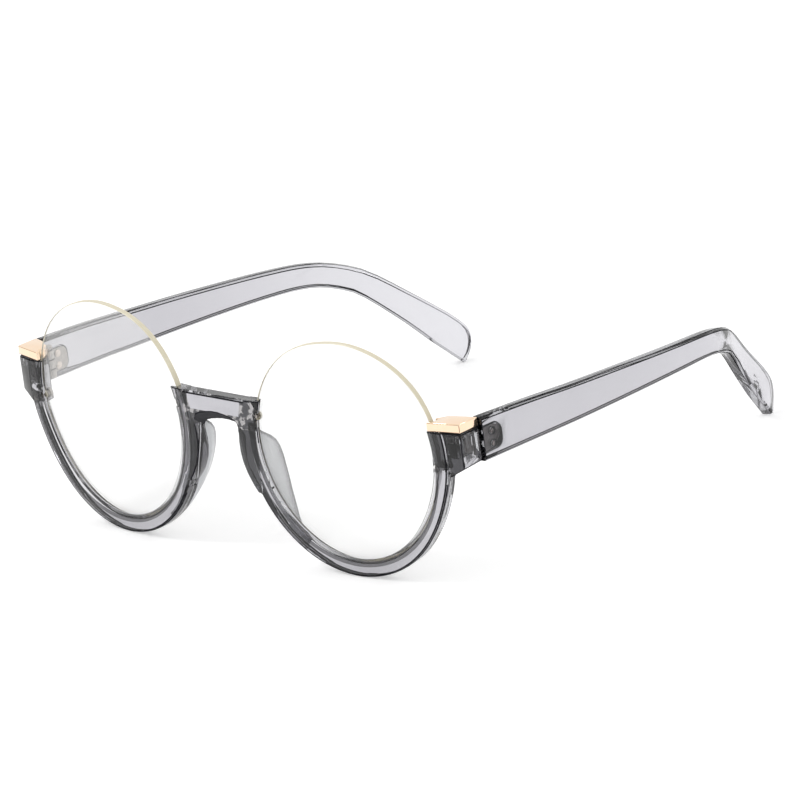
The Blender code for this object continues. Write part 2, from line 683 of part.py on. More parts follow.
def end_cap():
    low = ENDPIECE_TOP + CAP_GAP
    cap = plate("end_cap_left", endpiece_outline(), low, ENDPIECE_TOP + CAP_HEIGHT, None, CAP_BEVEL, MODEL)
    for i, (x, y) in enumerate(cap_prongs()):
        start = (x, y, ENDPIECE_TOP - PRONG_LENGTH)
        join(cap, drum("cap_prong_" + str(i), PRONG_RADIUS, start, (x, y, low + CAP_HEIGHT / 2)))
    cut(cap, cap_slot("cap_slot"))
    return cap


def lens():
    made = turned("lens_left", lens_profile(), LENS_STEPS, lens_frame(), MODEL, lens_shape=True)
    for name, angle in (("nasal", NASAL_SCREW_ANGLE), ("temporal", TEMPORAL_SCREW_ANGLE)):
        cut(made, lens_screw("lens_notch_" + name, angle, FIT_GAP, TOOLS))
    return made


def front_frame():
    """Half rims, end pieces and bridge as one moulding, modelled as the left half and mirrored."""
    frame = rim_ring()
    cut(frame, rim_waste())
    endpiece = endpiece_blank()
    cut(endpiece, endpiece_underside(), opening_tool("endpiece_opening"))
    bridge = bridge_blank()
    cut(bridge, opening_tool("bridge_opening"))
    join(frame, endpiece, bridge)
    cut(frame, nose_opening())
    weld(frame)
    cut(frame, groove_tool())
    weld(frame)
    for name, angle in (("nasal", NASAL_SCREW_ANGLE), ("temporal", TEMPORAL_SCREW_ANGLE)):
        cut(frame, lens_screw("screw_hole_" + name, angle, FIT_GAP, TOOLS))
    weld(frame)
    pocket = front_leaf("anchor_pocket", FIT_GAP, TOOLS)
    rear = (HINGE_X + LEAF_THICKNESS / 2 + FIT_GAP, ENDPIECE_REAR + OVERRUN, HINGE_MIDDLE + ANCHOR_HEIGHT / 2 + FIT_GAP)
    front = (HINGE_X - LEAF_THICKNESS / 2 - FIT_GAP, HINGE_Y - BARREL_RADIUS, HINGE_MIDDLE - ANCHOR_HEIGHT / 2 - FIT_GAP)
    join(pocket, box("pocket_mouth", front, rear))
    cut(frame, pocket, barrel("barrel_relief", HINGE_TOP - BARREL_HEIGHT - FIT_GAP, ENDPIECE_TOP + OVERRUN, FIT_GAP))
    for i, (x, y) in enumerate(cap_prongs()):
        start = (x, y, ENDPIECE_TOP - PRONG_LENGTH - FIT_GAP)
        cut(frame, drum("prong_hole_" + str(i), PRONG_RADIUS + FIT_GAP, start, (x, y, ENDPIECE_TOP + OVERRUN)))
    weld(frame)
    frame.modifiers.new("Triangulate", "TRIANGULATE")
    mirror = frame.modifiers.new("Mirror", "MIRROR")
    mirror.use_axis = (True, False, False)
    mirror.use_bisect_axis = (True, False, False)
    mirror.merge_threshold = MERGE_DISTANCE
    weld(frame)
    return frame


def temple_place(share):
    """The middle of the temple at a share of its length, and its half height there."""
    inset, drop, half = follow(TEMPLE_SHARES, share)
    x = TEMPLE_OUTER_X - TEMPLE_THICKNESS / 2 - inset * TEMPLE_LENGTH
    y = HINGE_Y + share * TEMPLE_LENGTH
    return Vector((x, y, TEMPLE_ROOT_Z - drop * TEMPLE_DROP)), half * TEMPLE_ROOT_HEIGHT / 2


def temple_section(place, along, up, down):
    """An eight-sided section with chamfered edges, across the path."""
    side = along.cross(Vector((0.0, 0.0, 1.0))).normalized()
    rise = side.cross(along)
    half = TEMPLE_THICKNESS / 2
    edge = TEMPLE_EDGE_CHAMFER
    corners = [
        (half, up - edge), (half - edge, up), (edge - half, up), (-half, up - edge),
        (-half, edge - down), (edge - half, -down), (half - edge, -down), (half, edge - down),
    ]
    return [place + side * across + rise * height for across, height in corners]


def temple():
    """A chamfered bar that narrows to the ear bend and widens to the tip."""
    sections = []
    ahead = 1 / TEMPLE_STATIONS**2
    end_start = 1.0 - TIP_END_LENGTH * TIP_END_SHARE / TEMPLE_LENGTH
    stops = [end_start * i / TEMPLE_STATIONS for i in range(TEMPLE_STATIONS)]
    for share in stops:
        place, half = temple_place(share)
        along = (temple_place(share + ahead)[0] - place).normalized()
        if share == 0:
            along = Vector((0.0, 1.0, 0.0))
        sections.append(temple_section(place, along, half, half))
    start, half = temple_place(end_start)
    along = (temple_place(end_start + ahead)[0] - start).normalized()
    for share, down in TIP_SHARES:
        place = start + along * share * TIP_END_LENGTH
        sections.append(temple_section(place, along, half * (1 - 2 * down), half))
    made = loft("temple_left", sections)
    recess = leaf_plate("leaf_recess", FIT_GAP, TEMPLE_INNER_X - OVERRUN, TEMPLE_INNER_X + LEAF_SINK + FIT_GAP)
    opening = box(
        "leaf_recess_mouth",
        (TEMPLE_INNER_X - OVERRUN, HINGE_Y - OVERRUN, LEAF_MIDDLE - LEAF_HEIGHT / 2 - FIT_GAP),
        (TEMPLE_INNER_X + LEAF_SINK + FIT_GAP, HINGE_Y + LEAF_HEIGHT / 2, LEAF_MIDDLE + LEAF_HEIGHT / 2 + FIT_GAP),
    )
    cut(made, recess, opening, barrel("temple_barrel_room", HINGE_TOP - BARREL_HEIGHT - FIT_GAP, HINGE_TOP + FIT_GAP, FIT_GAP))
    for i, height in enumerate(rivet_heights()):
        cut(made, rivet("temple_rivet_hole_" + str(i), height, FIT_GAP))
    return made


def nose_pad():
    """A thin wing behind the nose side of the rim, its free edge splayed towards the lens."""
    root = RIM_BACK + FIT_GAP
    sections = []
    for i in range(PAD_STATIONS + 1):
        share = i / PAD_STATIONS
        angle = PAD_TOP_ANGLE + (PAD_BOTTOM_ANGLE - PAD_TOP_ANGLE) * share
        swell = follow(PAD_SHARES, share)[0]
        outer = RIM_RADIUS - RIM_EDGE_CHAMFER
        width = PAD_ROOT_WIDTH * (PAD_ROOT_SHARE + (1 - PAD_ROOT_SHARE) * swell)
        lip = PAD_LIP_WIDTH * (PAD_LIP_SHARE + (1 - PAD_LIP_SHARE) * swell)
        reach = root + PAD_REACH * swell
        middle = (root + reach) / 2
        back = outer - PAD_SPLAY * swell - lip / 2
        edge = lip * PAD_EDGE_SHARE
        corners = [
            (outer, root), (outer - PAD_SPLAY * swell * PAD_BOW_SHARE, middle), (back + lip / 2, reach - edge), (back + edge, reach),
            (back - edge, reach), (back - lip / 2, reach - edge), (outer - width * PAD_WAIST_SHARE, middle), (outer - width, root),
        ]
        sections.append([lens_point(angle, radius, depth) for radius, depth in corners])
    return loft("nose_pad_left", sections)


def mirrored(item):
    """The right-hand twin of a left-hand piece, with its own mesh."""
    shape = bmesh.new()
    shape.from_mesh(evaluated_mesh(item))
    bmesh.ops.transform(shape, matrix=Matrix.Diagonal((-1, 1, 1, 1)), verts=shape.verts)
    bmesh.ops.reverse_faces(shape, faces=shape.faces)
    mesh = bpy.data.meshes.new(item.name.replace("left", "right"))
    shape.to_mesh(mesh)
    shape.free()
    return add(item.name.replace("left", "right"), mesh)


def hang(items, name, place):
    """Parents pieces to an empty on their joint's axis, and leaves them where they are."""
    axis = bpy.data.objects.new(name, None)
    bpy.data.collections[MODEL].objects.link(axis)
    axis.location = place
    tools = [change.object for item in items for change in item.modifiers if change.type == "BOOLEAN"]
    for item in items + tools:
        item.parent = axis
        item.matrix_parent_inverse = Matrix.Translation(place).inverted()
    return axis


def centre_on_table(axes):
    """Moves the whole part so that its box stands centred on the origin."""
    bpy.context.view_layer.update()
    pieces = [item for item in bpy.data.collections[MODEL].objects if item.type == "MESH"]
    graph = bpy.context.evaluated_depsgraph_get()
    points = []
    for item in pieces:
        shape = item.evaluated_get(graph)
        points += [item.matrix_world @ Vector(corner) for corner in shape.bound_box]
    low_y, high_y = min(p.y for p in points), max(p.y for p in points)
    datum = bpy.data.objects.new("table_datum", None)
    bpy.data.collections[MODEL].objects.link(datum)
    for item in pieces + axes + list(bpy.data.collections[TOOLS].objects):
        if item.parent is None:
            item.parent = datum
    datum.location = (0.0, -(low_y + high_y) / 2, -min(p.z for p in points))


def shade(item, finish):
    item.data.materials.clear()
    item.data.materials.append(finish)
    item.data.shade_smooth()
    item.data.set_sharp_from_angle(angle=math.radians(30))


def main():
    clear_scene()
    plastic = material("crystal_grey_plastic", (0.62, 0.61, 0.65), 0.12, 0.0, 0.6)
    pad_plastic = material("frosted_pad_plastic", (0.74, 0.74, 0.77), 0.35, 0.0, 0.8)
    gold = material("rose_gold_plate", (0.93, 0.72, 0.50), 0.18, 1.0)
    steel = material("hinge_metal", (0.50, 0.50, 0.51), 0.35, 1.0)
    clear = material("clear_lens", (0.93, 0.93, 0.90), 0.03, 0.0, 0.2)

    frame = front_frame()
    shade(frame, plastic)
    fixed = [
        (lens(), clear),
        (end_cap(), gold),
        (nose_pad(), pad_plastic),
        (hinge_front_leaf(), steel),
        (hinge_screw(), steel),
        (lens_screw("lens_screw_nasal_left", NASAL_SCREW_ANGLE), steel),
        (lens_screw("lens_screw_temporal_left", TEMPORAL_SCREW_ANGLE), steel),
    ]
    low, high = rivet_heights()
    moving = [
        (temple(), plastic),
        (hinge_temple_leaf(), steel),
        (rivet("temple_rivet_lower_left", low, 0.0, MODEL), steel),
        (rivet("temple_rivet_upper_left", high, 0.0, MODEL), steel),
    ]
    left, right = [], []
    for item, finish in fixed + moving:
        twin = mirrored(item)
        shade(item, finish)
        shade(twin, finish)
        if (item, finish) in moving:
            left.append(item)
            right.append(twin)
    axes = [
        hang(left, "fold_axis_left", (HINGE_X, HINGE_Y, HINGE_MIDDLE)),
        hang(right, "fold_axis_right", (-HINGE_X, HINGE_Y, HINGE_MIDDLE)),
    ]
    centre_on_table(axes)


main()
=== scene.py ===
"""Studio picture of the semi-rimless glasses: clear grey plastic, bare-topped clear lenses, rose gold caps.

Lengths are in metres. The wearer's left is at +X, and the temples run back along +Y from the front.
"""

import math

import bmesh
import bpy
from mathutils import Matrix, Vector


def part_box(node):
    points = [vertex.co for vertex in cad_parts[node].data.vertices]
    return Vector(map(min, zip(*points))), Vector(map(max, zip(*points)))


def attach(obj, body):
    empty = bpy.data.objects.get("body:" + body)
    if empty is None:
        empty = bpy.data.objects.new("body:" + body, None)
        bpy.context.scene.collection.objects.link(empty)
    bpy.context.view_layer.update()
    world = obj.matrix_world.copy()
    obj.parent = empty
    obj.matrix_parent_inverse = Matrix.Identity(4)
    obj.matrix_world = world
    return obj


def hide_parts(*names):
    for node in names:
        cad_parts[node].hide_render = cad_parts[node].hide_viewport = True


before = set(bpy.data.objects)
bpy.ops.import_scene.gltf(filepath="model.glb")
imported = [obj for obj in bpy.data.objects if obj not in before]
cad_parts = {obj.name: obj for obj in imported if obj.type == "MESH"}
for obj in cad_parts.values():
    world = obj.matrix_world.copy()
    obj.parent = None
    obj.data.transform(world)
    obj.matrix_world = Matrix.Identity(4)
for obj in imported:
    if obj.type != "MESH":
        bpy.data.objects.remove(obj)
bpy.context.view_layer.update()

MM = 0.001
SIDES = ("left", "right")

# The camera of the photograph
VIEW_AZIMUTH = math.radians(46.373)
VIEW_ELEVATION = math.radians(17.748)
VIEW_ROLL = math.radians(-7.615)
VIEW_DISTANCE = 2203.6 * MM
VIEW_TARGET = Vector((6.366, -13.219, 22.578)) * MM
FOCAL_PIXELS = 9299
FRAME_PIXELS = 800
SENSOR = 36.0
FAR_CLIP = 20.0

# Light. The floor and the sky look brighter than the light that they give
FLOOR_RADIUS = 6.0
FLOOR_GLOW = 0.37
SKY_STRENGTH = 0.8
WHITE = (1.0, 1.0, 1.0, 1.0)

# The middle of the left lens, from the middle of the glasses and from the table
LENS_X = 39.1 * MM
LENS_Z = 30.0 * MM

# Distances from the middle of a lens: the ends of the painted highlight on the lower inner corner, of the
# painted highlight on the lip, of the painted shade line round it, of the groove and of the rim
LIP_CORNER = 26.2 * MM
LIP_END = 26.45 * MM
LINE_END = 27.4 * MM
GROOVE_END = 28.0 * MM
RIM_END = 31.6 * MM

# Distances at which the painted shade by the nose starts: on the left rim level with its middle and lower
# down, on the right rim, and on both where it has become a thin line. The last is the soft stretch at its
# start
NOSE_LEVEL = 26.5 * MM
NOSE_LEFT = 27.5 * MM
NOSE_RIGHT = 29.4 * MM
NOSE_THIN = 30.6 * MM
NOSE_START = (-0.1 * MM, 0.15 * MM)

# Angles below the way from a lens to the nose: where NOSE_LEVEL becomes NOSE_LEFT, where the painted shade
# thins, and where the left rim has no painted shade line
LEVEL_TURN = (math.radians(6), math.radians(18))
THIN_TURN = (math.radians(30), math.radians(48))
BARE_TURN = (math.radians(8), math.radians(16), math.radians(58))

# The ceiling of the nose opening, which takes painted shade: its half width, its foot and its top
ARCH_SIDE = 7.8 * MM
ARCH_FOOT = 32.0 * MM
ARCH_TOP = 38.0 * MM

# The bridge: its half width and its foot, where it has no painted shade from within, and its half width and
# top, above which it is lighter as painted light
BRIDGE_WITHIN = 8.5 * MM
BRIDGE_FOOT = 31.0 * MM
BRIDGE_SIDE = 12.0 * MM
BRIDGE_TOP = 39.0 * MM

# The spotted ends of the bridge, where the painted shade has lighter spots, and the height above which the
# rim's painted shade stops at RIM_END
SPOT_FOOT = 33.0 * MM
SPOT_SIDE = 13.5 * MM
RIM_TOP = 36.0 * MM

# The end pieces: where they start, for the painted shade from within, which they lack, and for their tone
# from outside, and where they become clear
END_WITHIN = 65.0 * MM
END_SIDE = 66.0 * MM
END_FOOT = (29.0 * MM, 31.0 * MM)

# The way out from the nose over which the rims' outer walls take painted shade from within
NOSE_FADE = (20.0 * MM, 42.0 * MM)

# The halves of the glasses differ in tone on the two sides of this narrow middle strip
MIDDLE = (-1.0 * MM, 1.0 * MM)

# The way along a temple over which it becomes lighter
TEMPLE_FADE = (-20.0 * MM, 70.0 * MM)

# The part of a temple, along Y, in which its bend lies
BEND = (46.0 * MM, 58.0 * MM)

# How squarely a face looks forward, or outward on a temple, to count as broad and not as a wall
BROAD_SHARE = 0.72
LENS_BROAD_SHARE = 0.93

# The distance over which the points of a CAD mesh are merged, and the angle from which an edge stays sharp
MERGE = 0.002 * MM
SHARP_ANGLE = math.radians(35)

# The depth of the plastic's waves and of the metal's grain
BUMP_DEPTH = 0.02 * MM

# The widths of rounded edges
FRONT_ROUND = 0.22 * MM
TEMPLE_ROUND = 0.14 * MM
CAP_ROUND = 0.1 * MM

# The nasal lens screws are drawn smaller, so that their heads hardly pass the rim
NASAL_SCREW_SCALE = 0.6

# The width of the painted shade along a nose pad's back edge, and the height of the steps in which that edge
# is found
PAD_SHADE_WIDTH = 0.8 * MM
PAD_STEP = 0.5 * MM

# How far the dark seam of a cap reaches inward and back from the cap's front outer corner
SEAM_INWARD = 5.0 * MM
SEAM_BACK = 3.0 * MM

# The colour sockets of a Mix node, which share their names with other sockets
MIX_FIRST = 6
MIX_SECOND = 7
MIX_RESULT = 2

# Single tones, by place on the plastic
# Painted shade by the nose, nearly black
DEEP_SHADE_TONE = (0.006, 0.006, 0.007, 1.0)
# Lighter spots in the painted shade at the bridge's ends
SHADE_SPOT_TONE = (0.42, 0.40, 0.38, 1.0)
# Painted shade, seen on walls from within and on the nose arch
PAINTED_SHADE_TONE = (0.03, 0.03, 0.034, 1.0)
# A painted highlight on the lip at the lens
LIP_HIGHLIGHT_TONE = (0.95, 0.95, 0.95, 1.0)
# A nearly clear tone on the end pieces and groove walls, and painted light on the bridge's top
CLEAR_AND_LIT_TONE = (0.85, 0.85, 0.88, 1.0)
TIP_TONE = (0.92, 0.92, 0.95, 1.0)
# Grey painted shade on a temple's corners on its tip
TIP_EDGE_SHADE_TONE = (0.40, 0.39, 0.42, 1.0)

# Pairs of tones, between which a finish varies
FACE_TONES = ((0.52, 0.513, 0.545, 1.0), (0.485, 0.478, 0.51, 1.0))
WALL_TONES = ((0.42, 0.42, 0.44, 1.0), (0.34, 0.34, 0.36, 1.0))
GROOVE_TONES = ((0.90, 0.89, 0.93, 1.0), (0.82, 0.81, 0.85, 1.0))
# A painted highlight on the lower inner corners of the rims
LIP_HIGHLIGHT_TONES = ((0.96, 0.96, 0.96, 1.0), (0.90, 0.90, 0.91, 1.0))
# Painted shade on the rounded corners of the plastic
EDGE_SHADE_TONES = ((0.035, 0.035, 0.04, 1.0), (0.012, 0.012, 0.014, 1.0))
# Painted shade on the ceiling of the nose opening
ARCH_SHADE_TONES = ((0.10, 0.10, 0.105, 1.0), (0.06, 0.06, 0.065, 1.0))
PAD_TONES = ((0.62, 0.63, 0.65, 1.0), (0.58, 0.59, 0.61, 1.0))
# Painted shade along a nose pad's back edge
PAD_RIM_SHADE_TONES = ((0.16, 0.16, 0.17, 1.0), (0.12, 0.12, 0.13, 1.0))
CUT_EDGE_TONES = ((0.86, 0.80, 0.62, 1.0), (0.78, 0.71, 0.52, 1.0))
GOLD_TONES = ((0.98, 0.77, 0.57, 1.0), (0.94, 0.71, 0.51, 1.0))
SEAM_TONES = ((0.30, 0.16, 0.08, 1.0), (0.22, 0.11, 0.06, 1.0))
STEEL_TONES = ((0.64, 0.60, 0.56, 1.0), (0.20, 0.185, 0.175, 1.0))
RIVET_TONES = ((0.68, 0.60, 0.53, 1.0), (0.50, 0.43, 0.38, 1.0))
LENS_TONES = ((0.99, 0.99, 0.985, 1.0), WHITE)
FLOOR_TONE = (0.86, 0.86, 0.86, 1.0)


class Value:
    """A socket that + - * < and > turn into Math nodes."""

    def __init__(self, finish, socket):
        self.finish = finish
        self.socket = socket

    def math(self, operation, first, second):
        return self.finish.node("ShaderNodeMath", {"operation": operation}, {0: first, 1: second})

    def plain(self, operation):
        """A Math node of one number."""
        return self.finish.node("ShaderNodeMath", {"operation": operation}, {0: self})

    def most(self, other):
        """The greater of two numbers."""
        return self.math("MAXIMUM", self, other)

    def __add__(self, other):
        return self.math("ADD", self, other)

    def __sub__(self, other):
        return self.math("SUBTRACT", self, other)

    def __rsub__(self, other):
        return self.math("SUBTRACT", other, self)

    def __mul__(self, other):
        return self.math("MULTIPLY", self, other)

    def __gt__(self, other):
        return self.math("GREATER_THAN", self, other)

    def __lt__(self, other):
        return self.math("LESS_THAN", self, other)

    __radd__ = __add__
    __rmul__ = __mul__


class Finish:
    """A material or world, whose nodes are added one call at a time."""

    def __init__(self, name, owner=None):
        self.owner = owner or bpy.data.materials.new(name)
        self.owner.use_nodes = True
        self.tree = self.owner.node_tree
        self.shader = self.tree.nodes.get("Principled BSDF")
        self.out = next(n for n in self.tree.nodes if n.type.startswith("OUTPUT"))

    def node(self, kind, settings=None, inputs=None, output=0):
        made = self.tree.nodes.new(kind)
        for name, value in (settings or {}).items():
            setattr(made, name, value)
        for key, value in (inputs or {}).items():
            self.put(made.inputs[key], value)
        return Value(self, made.outputs[output])

    def put(self, socket, value):
        if isinstance(value, Value):
            self.tree.links.new(value.socket, socket)
        else:
            socket.default_value = value

    def set(self, **inputs):
        for name, value in inputs.items():
            self.put(self.shader.inputs[name.replace("_", " ")], value)

    def place(self):
        return self.node("ShaderNodeTexCoord", output="Object")

    def axes(self):
        """The place on the object, as three numbers."""
        place = self.place()
        return [self.node("ShaderNodeSeparateXYZ", None, {0: place}, axis) for axis in "XYZ"]

    def spread(self, value, low, high, near, far):
        """Turns a value from low to high into near to far, smoothly, and holds it beyond."""
        inputs = {"Value": value, "From Min": low, "From Max": high, "To Min": near, "To Max": far}
        return self.node("ShaderNodeMapRange", {"interpolation_type": "SMOOTHSTEP"}, inputs)

    def noise(self, scale, detail=2.0):
        inputs = {"Vector": self.place(), "Scale": scale, "Detail": detail}
        return self.node("ShaderNodeTexNoise", None, inputs)

    def blend(self, share, first, second):
        inputs = {"Factor": share, MIX_FIRST: first, MIX_SECOND: second}
        return self.node("ShaderNodeMix", {"data_type": "RGBA"}, inputs, MIX_RESULT)

    def bump(self, height, strength):
        inputs = {"Height": height, "Strength": strength, "Distance": BUMP_DEPTH}
        self.set(Normal=self.node("ShaderNodeBump", None, inputs))


def crystal(name, light, dark, tone=None, shade_within=0.0, where=None, clear=1.0):
    """Clear grey plastic. Tone changes its colour by place.

    The painted shade seen from within has the strength inside, and where gives its share by place.
    """
    finish = Finish(name)
    colour = finish.blend(finish.noise(90.0), light, dark)
    if tone:
        colour = tone(finish, colour)
    finish.set(Base_Color=colour, Roughness=finish.noise(600.0) * 0.01 + 0.004)
    finish.set(IOR=1.49, Transmission_Weight=clear)
    finish.bump(finish.noise(160.0, 0.0), 0.05)
    # Painted shade from within: a dark shader mixed in where a face is seen from behind
    if shade_within:
        within = finish.node("ShaderNodeNewGeometry", output="Backfacing") * shade_within
        if where:
            within = within * where(finish)
        plain = {"Base Color": PAINTED_SHADE_TONE, "Specular IOR Level": 0.0}
        deep = finish.node("ShaderNodeBsdfPrincipled", None, plain)
        body = Value(finish, finish.shader.outputs[0])
        mixed = finish.node("ShaderNodeMixShader", None, {0: within, 1: body, 2: deep})
        finish.put(finish.out.inputs["Surface"], mixed)
    return finish.owner


def lens_distance(finish, x, z):
    """How far a place is from the middle of the nearer lens."""
    across = x.plain("ABSOLUTE") - LENS_X
    up = z - LENS_Z
    return (across * across + up * up).plain("SQRT")


def front_tone(finish, colour):
    """The front's faces: a painted highlight on the lip at the lens, a painted shade line round it, and
    painted shade by the nose with lighter spots at the bridge's ends.
    """
    x, _, z = finish.axes()
    side = x.plain("ABSOLUTE")
    reach = lens_distance(finish, x, z)
    turn = side.math("ARCTAN2", LENS_Z - z, LENS_X - side)

    left = finish.spread(turn, *LEVEL_TURN, NOSE_LEVEL, NOSE_LEFT)
    start = finish.spread(x, *MIDDLE, NOSE_RIGHT, left)
    thin = finish.spread(turn, *THIN_TURN, 0.0, 1.0)
    edge = start * (1.0 - thin) + thin * NOSE_THIN
    # Painted shade by the nose
    nose = finish.spread(reach - edge, *NOSE_START, 0.0, 1.0)
    nose = nose * (1.0 - (reach > RIM_END) * (z > RIM_TOP))

    bare = (x > 0.0) * finish.spread(turn, *BARE_TURN[:2], 0.0, 1.0) * (turn < BARE_TURN[2])
    # A painted shade line round the lens, left out on part of the left rim
    line = (reach > LIP_END) * (reach < LINE_END) * (1.0 - bare)

    spots = finish.spread(finish.noise(420.0, 3.0), 0.50, 0.56, 0.0, 1.0)
    spots = spots * (z > SPOT_FOOT) * (side < SPOT_SIDE)
    deep = finish.blend(spots * 0.7, DEEP_SHADE_TONE, SHADE_SPOT_TONE)
    return finish.blend(nose.most(line * 0.9), finish.blend(reach < LIP_END, colour, LIP_HIGHLIGHT_TONE), deep)


def wall_tone(finish, colour):
    """The ceiling of the nose opening takes painted shade, the end pieces and the walls by the groove are
    nearly clear, and the bridge's top is lighter as painted light.
    """
    x, _, z = finish.axes()
    side = x.plain("ABSOLUTE")
    # Painted shade on the ceiling of the nose opening
    arch = (z > ARCH_FOOT) * (z < ARCH_TOP) * (side < ARCH_SIDE)
    end = (side > END_SIDE) * finish.spread(z, *END_FOOT, 0.0, 0.4)
    groove = lens_distance(finish, x, z) < GROOVE_END
    # The bridge's top takes a lighter tone as painted light
    bridge = (z > BRIDGE_TOP) * (side < BRIDGE_SIDE)
    return finish.blend(arch, finish.blend(end.most(groove.most(bridge)), colour, CLEAR_AND_LIT_TONE), PAINTED_SHADE_TONE)


def temple_tone(finish, colour):
    """A temple is lighter towards its tip, the right one more so."""
    x, y, _ = finish.axes()
    most = finish.spread(x, *MIDDLE, 0.45, 0.2)
    return finish.blend(finish.spread(y, *TEMPLE_FADE, 0.0, 1.0) * most, colour, TIP_TONE)


def painted_shade_within(finish):
    """Painted shade on the outer walls seen from within, apart from the end pieces, whose metal shows, and
    the bridge.
    """
    x, _, z = finish.axes()
    side = x.plain("ABSOLUTE")
    end = (side > END_WITHIN) * finish.spread(z, *END_FOOT, 0.0, 0.85)
    bridge = (side < BRIDGE_WITHIN) * (z > BRIDGE_FOOT)
    nose = finish.spread(side, *NOSE_FADE, 0.1, 1.0)
    return (lens_distance(finish, x, z) > GROOVE_END) * (1.0 - end) * (1.0 - bridge) * nose


def before_tip(finish):
    """One up to a temple's bend, and nought on its tip."""
    _, y, _ = finish.axes()
    return finish.spread(y, *BEND, 1.0, 0.0)


def tip_edge_shade(finish, colour):
    """A temple's corners take nearly black painted shade up to the bend and grey painted shade on the tip."""
    return finish.blend(before_tip(finish), TIP_EDGE_SHADE_TONE, colour)


def corner(name, light, dark, tone=None):
    """Painted shade, nearly black from every side, on the corners of the plastic and the nose arch. Tone
    changes that by place.
    """
    finish = Finish(name)
    colour = finish.blend(finish.noise(400.0), light, dark)
    if tone:
        colour = tone(finish, colour)
    finish.set(Base_Color=colour, Roughness=finish.noise(600.0) * 0.1 + 0.2, Specular_IOR_Level=0.0)
    return finish.owner


def metal(name, light, dark, roughness, grain, cuts=0.0):
    """Plated or plain metal with faint wear between two tones, and cutter lines where cuts isn't nought."""
    finish = Finish(name)
    wear = finish.noise(grain, 4.0)
    if cuts:
        lines = {"Vector": finish.place(), "Scale": cuts, "Distortion": 3.0, "Detail": 2.0}
        wear = finish.node("ShaderNodeTexWave", {"bands_direction": "Y"}, lines, 1) * 0.6 + wear * 0.4
    finish.set(Base_Color=finish.blend(wear, light, dark), Metallic=1.0)
    finish.set(Roughness=wear * roughness + roughness / 2)
    finish.bump(finish.noise(grain * 4, 3.0), 0.08)
    return finish.owner


def lens_clear():
    """The lens, clear with a very faint veil."""
    finish = Finish("clear_lens_plastic")
    finish.set(Base_Color=finish.blend(finish.noise(40.0), *LENS_TONES))
    finish.set(Roughness=finish.noise(500.0) * 0.01, IOR=1.6, Transmission_Weight=0.92)
    return finish.owner


def lens_edge():
    """The edge of the lens, cut and left a little frosted, which gathers a warm tone."""
    finish = Finish("lens_cut_edge")
    streaks = finish.noise(900.0, 3.0)
    finish.set(Base_Color=finish.blend(streaks, *CUT_EDGE_TONES), Roughness=streaks * 0.2 + 0.25)
    finish.set(IOR=1.5, Transmission_Weight=0.08)
    return finish.owner


FRONT = crystal("crystal_grey_plastic_front", *FACE_TONES, front_tone)
# The front's walls carry painted shade from within
FRONT_WALL = crystal("crystal_grey_plastic_front_walls", *WALL_TONES, wall_tone, 0.55, painted_shade_within)
BACK = crystal("crystal_grey_plastic_back", *FACE_TONES)
GROOVE = crystal("crystal_grey_plastic_groove", *GROOVE_TONES, clear=0.2)
# A painted highlight on the lower inner corners of the rims
LIP_HIGHLIGHT = crystal("crystal_grey_plastic_lip_painted_highlight", *LIP_HIGHLIGHT_TONES)
TEMPLE = crystal("crystal_grey_plastic_temple", *FACE_TONES, temple_tone)
# The temples' walls carry painted shade from within up to the bend
TEMPLE_WALL = crystal("crystal_grey_plastic_temple_walls", *WALL_TONES, None, 0.3, before_tip)
# Painted shade on the rounded corners of the front
EDGE_SHADE = corner("crystal_grey_plastic_corners_painted_shade", *EDGE_SHADE_TONES)
# Painted shade on a temple's rounded corners
TEMPLE_EDGE_SHADE = corner("crystal_grey_plastic_temple_corners_painted_shade", *EDGE_SHADE_TONES, tip_edge_shade)
# Painted shade on the ceiling of the nose opening
ARCH_SHADE = corner("crystal_grey_plastic_arch_painted_shade", *ARCH_SHADE_TONES)
# The pads carry painted shade from within
PAD = crystal("nose_pad_plastic_satin", *PAD_TONES, None, 0.3)
# Painted shade along a nose pad's back edge
PAD_EDGE_SHADE = crystal("nose_pad_plastic_rim_painted_shade", *PAD_RIM_SHADE_TONES)
GOLD = metal("rose_gold_plating", *GOLD_TONES, 0.12, 300.0)
SEAM = metal("rose_gold_mitre_seam", *SEAM_TONES, 0.3, 300.0)
STEEL = metal("hinge_steel", *STEEL_TONES, 0.6, 900.0, 900.0)
RIVET = metal("rivet_bronze", *RIVET_TONES, 0.3, 900.0)
LENS = lens_clear()
LENS_EDGE = lens_edge()


def merged_copy(node, flat=0.0):
    """The mesh of a CAD node as a bmesh, with its triangles joined, and flat faces whole up to an angle."""
    shape = bmesh.new()
    shape.from_mesh(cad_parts[node].data)
    bmesh.ops.remove_doubles(shape, verts=shape.verts, dist=MERGE)
    if flat:
        limit = math.radians(flat)
        bmesh.ops.dissolve_limit(shape, angle_limit=limit, verts=shape.verts, edges=shape.edges)
    return shape


def stand_in(node, shape, body, finishes):
    """Stores a finished bmesh as a piece that rides on a body and stands for a CAD node."""
    mesh = bpy.data.meshes.new(node + "_finished")
    shape.to_mesh(mesh)
    shape.free()
    if "custom_normal" in mesh.attributes:
        mesh.attributes.remove(mesh.attributes["custom_normal"])
    made = bpy.data.objects.new(node + "_finished", mesh)
    bpy.context.scene.collection.objects.link(made)
    for finish in finishes:
        mesh.materials.append(finish)
    mesh.shade_smooth()
    mesh.set_sharp_from_angle(angle=SHARP_ANGLE)
    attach(made, body)
    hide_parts(node)


def cramped(vert, sharp, width):
    """True at a point with too little room for a rounded edge of this width."""
    mine = [e for e in vert.link_edges if e in sharp]
    ways = [(e.other_vert(vert).co - vert.co).normalized() for e in mine]
    straight = len(ways) == 2 and ways[0].dot(ways[1]) < -0.8
    return any(e.calc_length() < 1.5 * width for e in vert.link_edges if not (straight and e in sharp))


